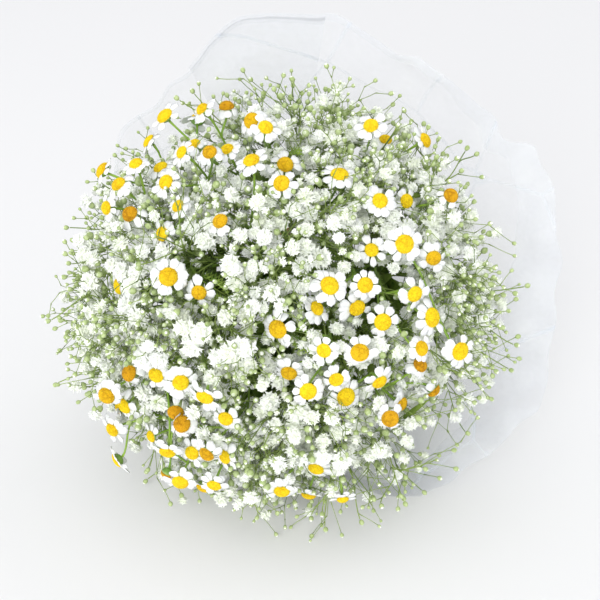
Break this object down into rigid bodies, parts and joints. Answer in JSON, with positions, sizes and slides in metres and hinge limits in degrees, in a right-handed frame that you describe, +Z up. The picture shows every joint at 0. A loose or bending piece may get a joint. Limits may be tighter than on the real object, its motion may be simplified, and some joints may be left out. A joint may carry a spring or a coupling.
{
  "type": "bunch of daisies and gypsophila",
  "caption": "Cut daisies and white gypsophila in a domed bunch, tied with twine in a crumpled clear film wrap, lying on its side.",
  "frame": {"origin": "on the surface the bunch lies on, under the middle of its bounding box", "axes": "+Z up, the flowers face -Y and the cut stem ends point to +Y, +X is on the right of a viewer who looks at the flowers"},
  "size_m": [0.2724, 0.3684, 0.2464],
  "materials": {
    "petals": "matte",
    "discs": "matte",
    "florets": "matte",
    "buds": "matte",
    "stems": "satin",
    "leaves": "matte",
    "film": "satin",
    "twine": "matte"
  },
  "bodies": {
    "root": {"daisy_spray_01": "petals", "daisy_spray_02": "petals", "daisy_spray_03": "petals", "daisy_spray_04": "petals", "daisy_spray_05": "petals", "daisy_spray_06": "petals", "daisy_spray_07": "petals", "daisy_spray_08": "petals", "daisy_spray_09": "petals", "daisy_spray_10": "petals", "daisy_spray_11": "petals", "daisy_spray_12": "petals", "daisy_spray_13": "petals", "daisy_spray_14": "petals", "daisy_spray_15": "petals", "daisy_spray_16": "petals", "daisy_spray_17": "petals", "daisy_spray_18": "petals", "daisy_spray_19": "petals", "daisy_spray_20": "petals", "gypsophila_spray_01": "florets", "gypsophila_spray_02": "florets", "gypsophila_spray_03": "florets", "gypsophila_spray_04": "florets", "gypsophila_spray_05": "florets", "gypsophila_spray_06": "florets", "gypsophila_spray_07": "florets", "gypsophila_spray_08": "florets", "gypsophila_spray_09": "florets", "gypsophila_spray_10": "florets", "gypsophila_spray_11": "florets", "gypsophila_spray_12": "florets", "gypsophila_spray_13": "florets", "gypsophila_spray_14": "florets", "gypsophila_spray_15": "florets", "gypsophila_spray_16": "florets", "gypsophila_spray_17": "florets", "gypsophila_spray_18": "florets", "gypsophila_spray_19": "florets", "gypsophila_spray_20": "florets", "gypsophila_spray_21": "florets", "gypsophila_spray_22": "florets", "gypsophila_spray_23": "florets", "gypsophila_spray_24": "florets", "film_wrap": "film", "twine_tie": "twine"}
  },
  "joints": []
}
